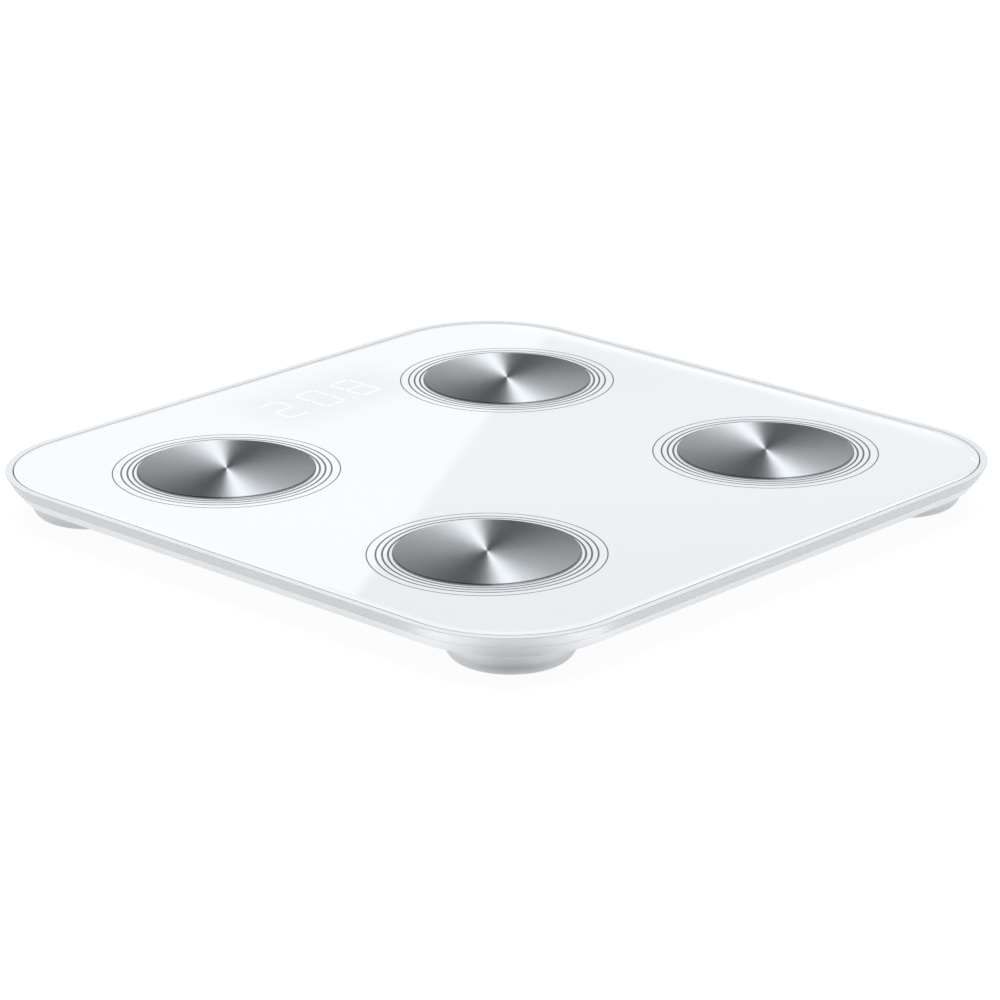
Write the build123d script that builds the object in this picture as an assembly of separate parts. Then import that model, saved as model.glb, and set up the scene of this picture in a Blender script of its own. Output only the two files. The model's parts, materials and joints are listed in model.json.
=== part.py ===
from build123d import *
import math
import os

# Digital bathroom scale: a white glass platform with four steel electrodes in a plastic body,
# four load cells over sliding feet, a lit display under the glass and a battery bay underneath.
# Millimetres. The origin is on the floor under the middle of the scale, +Z is up, +Y points to
# the toe end, where the display is, and +X points to the user's right.

# Outline of the body, seen from above
overall_side = 300.0
outer_corner_radius = 48.5
lip_width = 2.85
seam_gap = 0.45

# Rim of the body, from the lip down
lip_drop = 0.04
lip_band_height = 0.36
lip_outer_fillet = 0.3
lip_inner_fillet = 0.25
upper_facet_height = 4.3
upper_facet_inset = 2.4
lower_facet_height = 4.65
lower_facet_inset = 3.7
rim_bottom_fillet = 0.6
parting_chamfer = 0.15

# Glass platform, with the width and drop of each step of its rolled edge from the rim inward,
# and the tape that bonds it
glass_thickness = 4.0
glass_edge_steps = ((1.0, 0.07), (1.0, 0.04), (1.0, 0.02))
glass_bottom_chamfer = 0.6
glass_tape_thickness = 0.5
glass_tape_width = 8.0
glass_tape_margin = 1.5

# Top frame: deck under the glass
deck_thickness = 1.8
spigot_clearance = 0.25
deck_hole_clearance = 0.5

# Base shell
pan_clearance = 2.8
pan_wall = 2.0
pan_past_foot = 13.0
pan_corner_radius = 30.0
pan_draft_inset = 5.0
pan_edge_fillet = 2.5
rim_wall = 2.2
shoulder_drop = 1.15
shoulder_width = 7.9
shoulder_wall = 1.5
foot_bay_radius = 31.0
foot_bay_fillet = 5.0

# Electrodes
electrode_side_inset = 70.3
electrode_end_inset = 80.2
electrode_radius = 34.8
electrode_thickness = 0.8
electrode_edge_fillet = 0.25
electrode_tape_thickness = 0.15
electrode_tape_margin = 0.6
stud_radius = 1.5
stud_clearance = 0.5
stud_tail = 0.6
washer_radius = 4.2
washer_thickness = 0.6
lug_radius = 3.2
lug_thickness = 0.5
lug_tail_length = 9.0
lug_tail_width = 2.4
nut_across_flats = 5.5
nut_thickness = 2.4
thread_clearance = 0.05

# Feet
foot_inset = 38.0
foot_radius = 24.0
foot_edge_radius = 6.0
foot_wall = 2.2
foot_floor = 2.6
foot_inner_fillet = 3.6
foot_clearance = 0.6
foot_drop = 0.5
foot_lug_height = 0.8
foot_lug_reach = 2.0
foot_lug_width = 8.0
pad_radius = 16.5
pad_proud = 0.6
pad_recess = 1.0
pad_groove_width = 1.2
pad_groove_depth = 0.3
pad_groove_radii = (6.0, 11.0)
post_radius = 4.0
post_height = 3.8

# Load cells
load_cell_side = 30.0
load_cell_corner = 4.0
load_cell_bar = 5.0
load_cell_thickness = 2.0
tongue_width = 10.0
tongue_past_centre = 5.0
gauge_length = 7.0
gauge_width = 6.0
gauge_height = 1.2
gauge_from_root = 2.0
seat_wall = 4.0
seat_margin = 0.5
lead_slot_width = 3.0
cell_screw_radius = 1.25
cell_screw_head_radius = 2.1
cell_screw_head_height = 1.5
cell_screw_bite = 4.0

# Case screws
case_screw_from_foot = 7.0
case_screw_radius = 1.4
case_screw_head_radius = 2.7
case_screw_head_height = 2.0
case_screw_bite = 5.0
screw_recess_depth = 3.4
screw_recess_clearance = 0.5
screw_seat_thickness = 1.8
boss_wall = 1.6
screw_tip_clearance = 0.5
cross_slot_width = 0.7
cross_slot_depth = 0.8
cross_slot_share = 0.65

# Batteries, AAA size, and their bay
battery_count = 4
battery_diameter = 10.5
battery_length = 44.5
battery_nub_radius = 1.9
battery_nub_length = 1.1
battery_rim_fillet = 0.5
battery_pitch = 11.1
battery_clearance = 0.2
bay_centre_y = -18.0
bay_wall = 3.0
bay_side_clearance = 0.2
insulator_thickness = 0.3
contact_thickness = 0.4
contact_side = 8.0
contact_height = 9.0
spring_height = 3.6
spring_wire_radius = 0.45
spring_turns = 5
spring_base_radius = 3.6
spring_tip_radius = 2.4

# Battery door, its hinge and its latch
door_thickness = 1.5
door_overlap = 1.4
door_gap = 0.3
door_seat_gap = 0.1
door_edge_chamfer = 0.25
hinge_bead_radius = 1.1
hinge_pin_radius = 0.6
hinge_pin_length = 1.3
hinge_pin_clearance = 0.05
hinge_pin_end_gap = 0.2
hinge_groove_gap = 0.3
latch_width = 16.0
latch_depth = 8.0
latch_thickness = 1.3
latch_side_gap = 0.3
latch_nose_height = 0.6
latch_bite = 0.5
latch_slot_room = 0.3
grip_rib_count = 3
grip_rib_width = 0.8
grip_rib_pitch = 2.0
grip_rib_proud = 0.4
grip_rib_length = 11.0

# Unit button and its switch
button_from_board_end = 20.0
button_radius = 4.5
button_clearance = 0.3
button_recess = 0.2
button_edge_fillet = 0.4
button_flange_width = 1.5
button_flange = 0.6
button_travel = 0.8
button_gap = 0.1
switch_side = 4.5
switch_height = 1.8
plunger_radius = 1.6
plunger_height = 0.7

# Main board
board_length = 100.0
board_width = 34.0
board_thickness = 1.6
board_from_bay = 63.0
board_corner_radius = 2.0
board_screw_inset = 4.0
board_screw_radius = 1.2
board_screw_head_radius = 2.0
board_screw_head_height = 1.4
board_screw_bite = 3.0
connector_length = 7.0
connector_depth = 5.0
connector_height = 2.9
cell_connector_pitch = 12.0
electrode_connector_inset = 11.0
chip_side = 9.0
chip_height = 1.4
chip_x = -12.0
radio_length = 16.0
radio_width = 12.0
radio_height = 2.2
radio_x = 14.0
capacitor_radius = 2.0
capacitor_height = 2.6
capacitor_places = ((-30.0, -6.0), (-30.0, 2.0), (-24.0, 8.0))

# Display
display_inset = 41.3
digit_count = 4
digit_pitch = 20.3
digit_width = 12.4
digit_height = 21.0
segment_width = 1.3
segment_gap = 0.4
display_margin_x = 8.0
display_margin_y = 2.0
diffuser_thickness = 0.4
reflector_height = 5.0
display_window_gap = 0.4
display_board_margin = 5.0
display_screw_inset = 2.4
display_screw_radius = 1.0
display_screw_head_radius = 1.8
display_screw_head_height = 1.3

# Smallest difference that counts when edges are picked by their place
size_tolerance = 0.001

# Leads inside the body
lead_radius = 0.5
lead_deck_gap = 0.1
bend_share = 0.45
battery_lead_pitch = 2.3
ribbon_width = 9.0
ribbon_thickness = 0.6
ribbon_bend_radius = 6.0
ribbon_straight_share = 0.2
ribbon_rise = 1.2

# Heights worked out from the floor up
door_top = pan_clearance + door_thickness
battery_axis = door_top + battery_clearance + battery_diameter / 2
bay_top = battery_axis + battery_diameter / 2 + battery_clearance
deck_top = bay_top + insulator_thickness
deck_bottom = deck_top - deck_thickness
glass_bottom = deck_top + glass_tape_thickness
glass_top = glass_bottom + glass_thickness
lip_top = glass_top - lip_drop
upper_facet_top = lip_top - lip_band_height
parting_height = upper_facet_top - upper_facet_height
rim_bottom = parting_height - lower_facet_height
shoulder_bottom = rim_bottom - shoulder_drop
shoulder_top = shoulder_bottom + shoulder_wall
pan_floor = pan_clearance + pan_wall
foot_bottom = pad_proud
foot_floor_top = foot_bottom + foot_floor
load_cell_bottom = foot_floor_top + post_height
load_cell_top = load_cell_bottom + load_cell_thickness
foot_lug_bottom = shoulder_top + foot_drop
foot_top = foot_lug_bottom + foot_lug_height
screw_head_seat = pan_clearance + screw_recess_depth
screw_boss_top = screw_head_seat + screw_seat_thickness
lead_height = deck_bottom - lead_deck_gap - lead_radius
button_top = pan_floor + button_flange
plunger_bottom = button_top + button_travel + button_gap
board_bottom = plunger_bottom + plunger_height + switch_height
board_top = board_bottom + board_thickness
connector_mid = board_top + connector_height / 2
diffuser_bottom = glass_bottom - diffuser_thickness
display_board_top = diffuser_bottom - reflector_height
display_board_bottom = display_board_top - board_thickness
washer_bottom = deck_bottom - washer_thickness
lug_bottom = washer_bottom - lug_thickness
nut_bottom = lug_bottom - nut_thickness

# Outlines and places worked out from the overall side
outer_half = overall_side / 2
electrode_offset_x = outer_half - electrode_side_inset
electrode_offset_y = outer_half - electrode_end_inset
foot_offset = outer_half - foot_inset
pan_half = foot_offset + pan_past_foot
display_centre_y = outer_half - display_inset
parting_half = outer_half - upper_facet_inset
parting_radius = outer_corner_radius - upper_facet_inset
rim_bottom_half = parting_half - lower_facet_inset
rim_bottom_radius = parting_radius - lower_facet_inset
pocket_half = outer_half - lip_width
pocket_radius = outer_corner_radius - lip_width
glass_half = pocket_half - seam_gap
glass_radius = pocket_radius - seam_gap
lower_slope = lower_facet_inset / lower_facet_height
foot_hole_radius = foot_radius + foot_clearance
stud_hole_radius = stud_radius + stud_clearance
thread_hole = thread_clearance + stud_radius

# Battery bay and door, worked out from the cells
bay_half_x = (battery_length + spring_height + 2 * contact_thickness) / 2
bay_half_y = battery_count * battery_pitch / 2 + bay_side_clearance
door_half_x = bay_half_x + door_overlap
door_half_y = bay_half_y + door_overlap
opening_half_x = door_half_x + door_gap
opening_half_y = door_half_y + door_gap
bay_seat = door_top + door_seat_gap
hinge_y = bay_centre_y - door_half_y + hinge_bead_radius
hinge_height = pan_clearance + hinge_bead_radius

# Main board, worked out from the battery bay
board_centre_y = bay_centre_y + board_from_bay
electrode_connector_x = board_length / 2 - electrode_connector_inset
button_x = board_length / 2 - button_from_board_end
button_y = board_centre_y

# Display block, worked out from the digits
display_half_x = ((digit_count - 1) * digit_pitch + digit_width) / 2 + display_margin_x
display_half_y = digit_height / 2 + display_margin_y
display_board_half_x = display_half_x + display_board_margin

# Case screws, along the edges of the pan between the display board and the feet
case_screw_far = foot_offset - case_screw_from_foot
case_screw_near = (display_board_half_x + foot_offset - foot_bay_radius - pan_wall) / 2

corners = {
    "toe_left": (-1, 1),
    "toe_right": (1, 1),
    "heel_left": (-1, -1),
    "heel_right": (1, -1),
}


def slab(half, radius, low, high):
    """A rounded square plate between two heights."""
    return Pos(0, 0, low) * extrude(RectangleRounded(2 * half, 2 * half, radius), high - low)


def dish(half, radius, wide, narrow, inset):
    """A rounded square block that narrows by inset on each side between two heights."""
    low, high = min(wide, narrow), max(wide, narrow)
    low_inset, high_inset = (0, inset) if wide < narrow else (inset, 0)
    straight = half - radius
    low_half, high_half = half - low_inset, half - high_inset
    profile = Polyline((-low_half, low), (low_half, low), (high_half, high), (-high_half, high), close=True)
    prism = extrude(Plane.XZ * make_face(profile), straight, both=True)
    solid = prism + Rot(0, 0, 90) * prism
    corner = Cone(radius - low_inset, radius - high_inset, high - low)
    for sx, sy in corners.values():
        solid += Pos(sx * straight, sy * straight, (low + high) / 2) * corner
    return solid


def block(size_x, size_y, low, high, x=0.0, y=0.0):
    """A box centred on a point in plan, between two heights."""
    return Pos(x, y, (low + high) / 2) * Box(size_x, size_y, high - low)


def rod(radius, low, high, x=0.0, y=0.0):
    """An upright cylinder between two heights."""
    return Pos(x, y, (low + high) / 2) * Cylinder(radius, high - low)


def ring(outer, inner, low, high, x=0.0, y=0.0):
    """An upright tube between two heights."""
    return rod(outer, low, high, x, y) - rod(inner, low, high, x, y)


def edges_at(solid, height):
    """The edges of a solid that lie flat at one height."""
    return solid.edges().filter_by_position(Axis.Z, height - size_tolerance, height + size_tolerance)


def edges_within(edges, half):
    """Those of some edges that lie inside a square round the origin."""
    limit = half + size_tolerance
    boxes = [(e, e.bounding_box()) for e in edges]
    return [e for e, b in boxes if max(b.max.X, b.max.Y, -b.min.X, -b.min.Y) < limit]


def electrode_places():
    """Plan position of each electrode, by corner name."""
    return {n: (sx * electrode_offset_x, sy * electrode_offset_y) for n, (sx, sy) in corners.items()}


def foot_places():
    """Plan position of each foot, by corner name."""
    return {n: (sx * foot_offset, sy * foot_offset) for n, (sx, sy) in corners.items()}


def case_screw_places():
    """Plan positions of the screws that join the base to the frame."""
    near_far = ((case_screw_near, case_screw_far), (case_screw_far, case_screw_near))
    return [(sx * x, sy * y) for x, y in near_far for sx, sy in corners.values()]


def board_screw_places():
    """Plan positions of the main board's screws."""
    x = board_length / 2 - board_screw_inset
    y = board_width / 2 - board_screw_inset
    return [(sx * x, board_centre_y + sy * y) for sx, sy in corners.values()]


def display_screw_places():
    """Plan positions of the display board's screws."""
    x = display_board_half_x - display_screw_inset
    return [(-x, display_centre_y), (x, display_centre_y)]


def cell_screw_places(sx, sy):
    """Plan positions of a load cell's two screws, on the corners along the rim."""
    offset = load_cell_side / 2 - load_cell_bar / 2
    x, y = sx * foot_offset, sy * foot_offset
    return [(x + sx * offset, y - sy * offset), (x - sx * offset, y + sy * offset)]


def battery_places():
    """Each cell's axis position across the bay and the way its positive end points."""
    first = bay_centre_y - (battery_count - 1) * battery_pitch / 2
    return [(first + i * battery_pitch, 1 if i % 2 == 0 else -1) for i in range(battery_count)]


def screw(x, y, seat, radius, length, head_radius, head_height, points_up):
    """A pan-head screw whose head sits on a seat, with a cross slot in the head."""
    way = 1 if points_up else -1
    head_end = seat - way * head_height
    shank_end = seat + way * length
    head = rod(head_radius, min(seat, head_end), max(seat, head_end), x, y)
    shank = rod(radius, min(seat, shank_end), max(seat, shank_end), x, y)
    slot_end = head_end + way * cross_slot_depth
    low, high = min(head_end, slot_end), max(head_end, slot_end)
    slot_length = cross_slot_share * 2 * head_radius
    slots = block(slot_length, cross_slot_width, low, high, x, y)
    slots += block(cross_slot_width, slot_length, low, high, x, y)
    return head + shank - slots


def lead(points):
    """A round lead along straight runs joined by arcs as large as the runs allow."""
    runs = [Vector(*b) - Vector(*a) for a, b in zip(points, points[1:])]
    radii = []
    for before, after in zip(runs, runs[1:]):
        half_turn = math.radians(before.get_angle(after)) / 2
        radii.append(bend_share * min(before.length, after.length) / math.tan(half_turn))
    path = FilletPolyline(*points, radius=radii)
    section = Plane(points[0], z_dir=runs[0]) * Circle(lead_radius)
    return sweep(section, path=path)


def make_glass():
    """White-backed glass plate with a rolled upper edge and a hole for each electrode stud."""
    low = glass_top - sum(drop for width, drop in glass_edge_steps)
    plate = slab(glass_half, glass_radius, glass_bottom, low)
    inset = 0.0
    for width, drop in glass_edge_steps:
        plate += dish(glass_half - inset, glass_radius - inset, low, low + drop, width)
        inset += width
        low += drop
    plate = chamfer(edges_at(plate, glass_bottom), glass_bottom_chamfer)
    for x, y in electrode_places().values():
        plate -= rod(stud_hole_radius, glass_bottom, glass_top, x, y)
    return plate


def make_glass_tape():
    """Bonding tape round the edge of the deck, and a small ring of it at each electrode stud."""
    half = glass_half - glass_tape_margin
    radius = glass_radius - glass_tape_margin
    inner_half = half - glass_tape_width
    tape = slab(half, radius, deck_top, glass_bottom)
    tape -= slab(inner_half, radius - glass_tape_width, deck_top, glass_bottom)
    rings = [
        ring(stud_hole_radius + glass_tape_width, stud_hole_radius, deck_top, glass_bottom, x, y)
        for x, y in electrode_places().values()
    ]
    return [tape] + rings


def make_top_frame():
    """Upper half of the body: lip and upper facet round a deck that carries the glass."""
    frame = dish(outer_half, outer_corner_radius, upper_facet_top, parting_height, upper_facet_inset)
    frame += slab(outer_half, outer_corner_radius, upper_facet_top, lip_top)
    frame = fillet(edges_at(frame, lip_top), lip_outer_fillet)
    frame = chamfer(edges_at(frame, parting_height), parting_chamfer)
    inner_half = parting_half - rim_wall - lower_slope * (parting_height - deck_bottom)
    spigot_half = inner_half - spigot_clearance
    spigot_radius = parting_radius - (parting_half - spigot_half)
    frame += slab(spigot_half, spigot_radius, deck_bottom, parting_height)
    frame -= slab(pocket_half, pocket_radius, deck_top, lip_top)
    frame = fillet(edges_within(edges_at(frame, lip_top), pocket_half), lip_inner_fillet)
    for x, y in electrode_places().values():
        frame -= rod(stud_radius + deck_hole_clearance, deck_bottom, deck_top, x, y)
    window_x = 2 * (display_half_x + display_window_gap)
    window_y = 2 * (display_half_y + display_window_gap)
    frame -= block(window_x, window_y, deck_bottom, deck_top, 0, display_centre_y)
    bay_x = 2 * (bay_half_x + bay_wall + deck_hole_clearance)
    bay_y = 2 * (bay_half_y + bay_wall + deck_hole_clearance)
    frame -= block(bay_x, bay_y, deck_bottom, deck_top, 0, bay_centre_y)
    for sx, sy in corners.values():
        frame += load_cell_seat(sx, sy)
    for x, y in case_screw_places():
        frame += rod(case_screw_radius + boss_wall, screw_boss_top, deck_bottom, x, y)
        tip = screw_boss_top + case_screw_bite + screw_tip_clearance
        frame -= rod(case_screw_radius + thread_clearance, screw_boss_top, tip, x, y)
    for x, y in display_screw_places():
        frame += rod(display_screw_radius + boss_wall, display_board_top, deck_bottom, x, y)
        frame -= rod(display_screw_radius + thread_clearance, display_board_top, deck_bottom, x, y)
    return frame


def load_cell_seat(sx, sy):
    """Square collar under the deck that a load cell's outer bar bears on."""
    x, y = sx * foot_offset, sy * foot_offset
    outer = load_cell_side - 2 * seat_margin
    inner = outer - 2 * seat_wall
    height = deck_bottom - load_cell_top
    seat = extrude(RectangleRounded(outer, outer, load_cell_corner), height)
    seat -= extrude(Rectangle(inner, inner), height)
    seat = Pos(x, y, load_cell_top) * seat
    slot_x = x - sx * (outer - seat_wall) / 2
    seat -= block(2 * seat_wall, lead_slot_width, load_cell_top, deck_bottom, slot_x, y)
    for screw_x, screw_y in cell_screw_places(sx, sy):
        tip = load_cell_top + cell_screw_bite + thread_clearance
        seat -= rod(cell_screw_radius + thread_clearance, load_cell_top, tip, screw_x, screw_y)
    return seat


def make_base_shell():
    """Lower half of the body: lower facet, shoulder, deep pan, battery bay and screw bosses."""
    shell = dish(parting_half, parting_radius, parting_height, rim_bottom, lower_facet_inset)
    shell = chamfer(edges_at(shell, parting_height), parting_chamfer)
    shell += dish(rim_bottom_half, rim_bottom_radius, rim_bottom, shoulder_bottom, shoulder_width)
    shell = fillet(edges_at(shell, rim_bottom), rim_bottom_fillet)
    pan = dish(pan_half, pan_corner_radius, shoulder_bottom, pan_clearance, pan_draft_inset)
    for x, y in foot_places().values():
        pan -= rod(foot_bay_radius, pan_clearance, shoulder_bottom, x, y)
    upright = [e for e in pan.edges() if e.bounding_box().size.Z > pan_wall]
    pan = fillet(upright, foot_bay_fillet)
    pan = fillet(edges_at(pan, pan_clearance), pan_edge_fillet)
    shell += pan
    inner_half = parting_half - rim_wall
    inner_radius = parting_radius - rim_wall
    depth = parting_height - shoulder_top
    shell -= dish(inner_half, inner_radius, parting_height, shoulder_top, lower_slope * depth)
    pan_slope = pan_draft_inset / (shoulder_bottom - pan_clearance)
    hollow_depth = shoulder_top - pan_floor
    hollow_half = pan_half - pan_wall
    hollow_radius = pan_corner_radius - pan_wall
    hollow = dish(hollow_half, hollow_radius, shoulder_top, pan_floor, pan_slope * hollow_depth)
    for x, y in foot_places().values():
        hollow -= rod(foot_bay_radius + pan_wall, pan_floor, shoulder_top, x, y)
    shell -= hollow
    for x, y in foot_places().values():
        shell -= rod(foot_hole_radius, shoulder_bottom - shoulder_drop, parting_height, x, y)
    shell = add_battery_bay(shell)
    for x, y in case_screw_places():
        head_room = case_screw_head_radius + screw_recess_clearance
        shell += rod(head_room + boss_wall, pan_floor, screw_boss_top, x, y)
        shell -= rod(head_room, pan_clearance, screw_head_seat, x, y)
        shell -= rod(case_screw_radius + screw_recess_clearance, screw_head_seat, screw_boss_top, x, y)
    for x, y in board_screw_places():
        shell += rod(board_screw_radius + boss_wall, pan_floor, board_bottom, x, y)
        start = board_bottom - board_screw_bite - thread_clearance
        shell -= rod(board_screw_radius + thread_clearance, start, board_bottom, x, y)
    shell -= rod(button_radius + button_clearance, pan_clearance, pan_floor, button_x, button_y)
    return shell


def add_battery_bay(shell):
    """Walls of the battery bay, the door's opening, its hinge sockets and its latch slot."""
    outer_x, outer_y = 2 * (bay_half_x + bay_wall), 2 * (bay_half_y + bay_wall)
    shell += block(outer_x, outer_y, pan_clearance, bay_top, 0, bay_centre_y)
    shell -= block(2 * bay_half_x, 2 * bay_half_y, bay_seat, bay_top, 0, bay_centre_y)
    shell -= block(2 * opening_half_x, 2 * opening_half_y, pan_clearance, bay_seat, 0, bay_centre_y)
    groove = Cylinder(hinge_bead_radius + hinge_groove_gap, 2 * opening_half_x)
    shell -= Pos(0, hinge_y, hinge_height) * (Rot(0, 90, 0) * groove)
    socket_half = door_half_x + hinge_pin_length + hinge_pin_end_gap
    socket = Cylinder(hinge_pin_radius + hinge_pin_clearance, 2 * socket_half)
    shell -= Pos(0, hinge_y, hinge_height) * (Rot(0, 90, 0) * socket)
    slot_end = door_gap + latch_bite + latch_slot_room
    slot_low = pan_clearance + latch_thickness - latch_nose_height - latch_slot_room
    slot_y = bay_centre_y + door_half_y + slot_end / 2
    shell -= block(latch_width, slot_end, slot_low, bay_seat, 0, slot_y)
    return shell


def make_battery_door():
    """Door plate with a rounded hinge edge, two hinge pins and a notch for the latch."""
    plate_low = bay_centre_y - door_half_y + hinge_bead_radius
    plate_high = bay_centre_y + door_half_y
    plate_mid = (plate_low + plate_high) / 2
    door = block(2 * door_half_x, plate_high - plate_low, pan_clearance, door_top, 0, plate_mid)
    bead = Rot(0, 90, 0) * Cylinder(hinge_bead_radius, 2 * door_half_x)
    pin = Rot(0, 90, 0) * Cylinder(hinge_pin_radius, 2 * (door_half_x + hinge_pin_length))
    door += Pos(0, hinge_y, hinge_height) * bead
    door += Pos(0, hinge_y, hinge_height) * pin
    notch_y = plate_high - latch_depth / 2
    door -= block(latch_width, latch_depth, pan_clearance, door_top, 0, notch_y)
    return chamfer(edges_at(door, pan_clearance), door_edge_chamfer)


def make_door_latch():
    """Flexible tongue in the door's notch, with a nose under the bay wall and grip ribs."""
    edge = bay_centre_y + door_half_y
    width = latch_width - 2 * latch_side_gap
    latch_top = pan_clearance + latch_thickness
    tongue = block(width, latch_depth, pan_clearance, latch_top, 0, edge - latch_depth / 2)
    nose_length = door_gap + latch_bite
    nose_y = edge + nose_length / 2
    nose_low = latch_top - latch_nose_height
    tongue += block(width - 2 * latch_side_gap, nose_length, nose_low, latch_top, 0, nose_y)
    first = edge - latch_depth / 2 - (grip_rib_count - 1) * grip_rib_pitch / 2
    for i in range(grip_rib_count):
        rib_y = first + i * grip_rib_pitch
        rib_low = pan_clearance - grip_rib_proud
        tongue += block(grip_rib_length, grip_rib_width, rib_low, pan_clearance, 0, rib_y)
    return tongue


def make_electrode(x, y):
    """Thin steel disc with a threaded stud through the glass and the deck."""
    low = glass_top + electrode_tape_thickness
    disc = rod(electrode_radius, low, low + electrode_thickness, x, y)
    disc = fillet(edges_at(disc, low + electrode_thickness), electrode_edge_fillet)
    return disc + rod(stud_radius, nut_bottom - stud_tail, low, x, y)


def make_lug(sx, sy):
    """Ring terminal on a stud, with its tail pointing to the middle of the scale."""
    x, y = sx * electrode_offset_x, sy * electrode_offset_y
    lug = rod(lug_radius, lug_bottom, washer_bottom, x, y)
    tail_x = x - sx * lug_tail_length / 2
    lug += block(lug_tail_length, lug_tail_width, lug_bottom, washer_bottom, tail_x, y)
    return lug - rod(thread_hole, lug_bottom, washer_bottom, x, y)


def make_nut(x, y):
    """Hexagon nut on an electrode stud."""
    hexagon = RegularPolygon(nut_across_flats / 2, 6, major_radius=False)
    nut = Pos(x, y, nut_bottom) * extrude(hexagon, nut_thickness)
    return nut - rod(thread_hole, nut_bottom, lug_bottom, x, y)


def make_foot_cap(x, y):
    """Cup-shaped foot with a rounded bottom edge, a centre post and four retaining lugs."""
    cap = rod(foot_radius, foot_bottom, foot_top)
    cap = fillet(edges_at(cap, foot_bottom), foot_edge_radius)
    hollow = rod(foot_radius - foot_wall, foot_floor_top, foot_top)
    cap -= fillet(edges_at(hollow, foot_floor_top), foot_inner_fillet)
    cap -= rod(pad_radius, foot_bottom, foot_bottom + pad_recess)
    cap += rod(post_radius, foot_floor_top, load_cell_bottom)
    lug_end = foot_hole_radius + foot_lug_reach
    lug_start = foot_radius - foot_wall / 2
    lug_mid = (lug_start + lug_end) / 2
    for turn in range(0, 360, 90):
        lug = block(lug_end - lug_start, foot_lug_width, foot_lug_bottom, foot_top, lug_mid, 0)
        cap += Rot(0, 0, turn) * lug
    return Pos(x, y, 0) * cap


def make_foot_pad(x, y):
    """Grey rubber disc set into the underside of a foot, with two shallow ring grooves."""
    pad = rod(pad_radius, 0, pad_proud + pad_recess)
    for radius in pad_groove_radii:
        half_width = pad_groove_width / 2
        pad -= ring(radius + half_width, radius - half_width, 0, pad_groove_depth)
    return Pos(x, y, 0) * pad


def make_load_cell(sx, sy):
    """Stamped steel plate: an outer bar that bears on the deck and a tongue over the foot's post."""
    plate = RectangleRounded(load_cell_side, load_cell_side, load_cell_corner)
    window = load_cell_side - 2 * load_cell_bar
    plate -= Rectangle(window, window)
    tongue_length = window / 2 + tongue_past_centre
    plate += Pos(-sx * (window - tongue_length) / 2, 0) * Rectangle(tongue_length, tongue_width)
    cell = Pos(sx * foot_offset, sy * foot_offset, load_cell_bottom) * extrude(plate, load_cell_thickness)
    for x, y in cell_screw_places(sx, sy):
        cell -= rod(cell_screw_radius + thread_clearance, load_cell_bottom, load_cell_top, x, y)
    return cell


def gauge_start():
    """Distance of a gauge's inner end from its foot's centre, towards the middle of the scale."""
    return load_cell_side / 2 - load_cell_bar - gauge_from_root


def make_gauge(sx, sy):
    """Sealed strain gauge on a load cell's tongue."""
    x = sx * (foot_offset - gauge_start() + gauge_length / 2)
    y = sy * foot_offset
    return block(gauge_length, gauge_width, load_cell_top, load_cell_top + gauge_height, x, y)


def cell_connector_y(sy):
    """Row of a load cell's connector on the main board."""
    return board_centre_y + sy * cell_connector_pitch / 2


def load_cell_lead(sx, sy):
    """Lead from a strain gauge, over the foot's rim, along the deck and down to the board."""
    start = gauge_start()
    gauge_mid = load_cell_top + gauge_height / 2
    end_in = foot_offset - board_length / 2
    end_along = foot_offset - sy * cell_connector_y(sy)
    begin = [
        (start, 0.0, gauge_mid),
        (start + 4.5, 0.0, gauge_mid),
        (start + 9.5, 0.3, lead_height - 0.1),
        (start + 17.0, 3.0, lead_height),
    ]
    toe_way = [
        (24.0, 18.0, lead_height),
        (20.0, 41.0, lead_height),
        (28.0, 56.0, lead_height - 0.2),
        (42.0, 62.0, connector_mid + 0.4),
    ]
    heel_way = [
        (24.0, 18.0, lead_height),
        (20.0, 44.0, lead_height),
        (24.0, 72.0, lead_height),
        (34.0, 98.0, lead_height - 0.1),
        (45.0, 122.0, lead_height - 0.4),
        (53.0, 141.0, connector_mid + 0.3),
    ]
    finish = [(end_in - 5.0, end_along, connector_mid), (end_in, end_along, connector_mid)]
    points = begin + (toe_way if sy > 0 else heel_way) + finish
    return lead([(sx * (foot_offset - u), sy * (foot_offset - v), z) for u, v, z in points])


def electrode_lead(sx, sy):
    """Lead from a ring terminal to its connector on the edge of the main board."""
    start_x = electrode_offset_x - lug_tail_length
    start_y = sy * electrode_offset_y
    start_z = (lug_bottom + washer_bottom) / 2
    end_x = electrode_connector_x
    end_y = board_centre_y + sy * board_width / 2
    toe_way = [
        (start_x - 12.7, start_y + 3.2, start_z),
        (start_x - 22.7, start_y + 5.2, start_z - 0.2),
        (end_x + 2.0, end_y + 10.0, connector_mid + 0.3),
    ]
    heel_way = [
        (start_x - 14.7, start_y + 13.8, start_z),
        (start_x - 20.7, start_y + 37.8, start_z),
        (end_x + 6.0, end_y - 36.0, start_z - 0.2),
        (end_x + 2.0, end_y - 18.0, connector_mid + 0.3),
    ]
    points = [(start_x, start_y, start_z), (start_x - 6.0, start_y, start_z)]
    points += toe_way if sy > 0 else heel_way
    points += [
        (end_x, end_y + sy * 6.0, connector_mid),
        (end_x, end_y, connector_mid),
    ]
    return lead([(sx * x, y, z) for x, y, z in points])


def battery_lead(cell_y, end_x, way):
    """Lead from a contact's tab on the side of the bay to the main board."""
    tab_end = bay_half_x + bay_wall + contact_thickness
    end_y = board_centre_y - board_width / 2
    points = [(tab_end, cell_y, battery_axis), (tab_end + 3.5, cell_y, battery_axis)]
    points += way
    points += [(end_x, end_y - 5.0, connector_mid), (end_x, end_y, connector_mid)]
    return lead(points)


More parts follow.
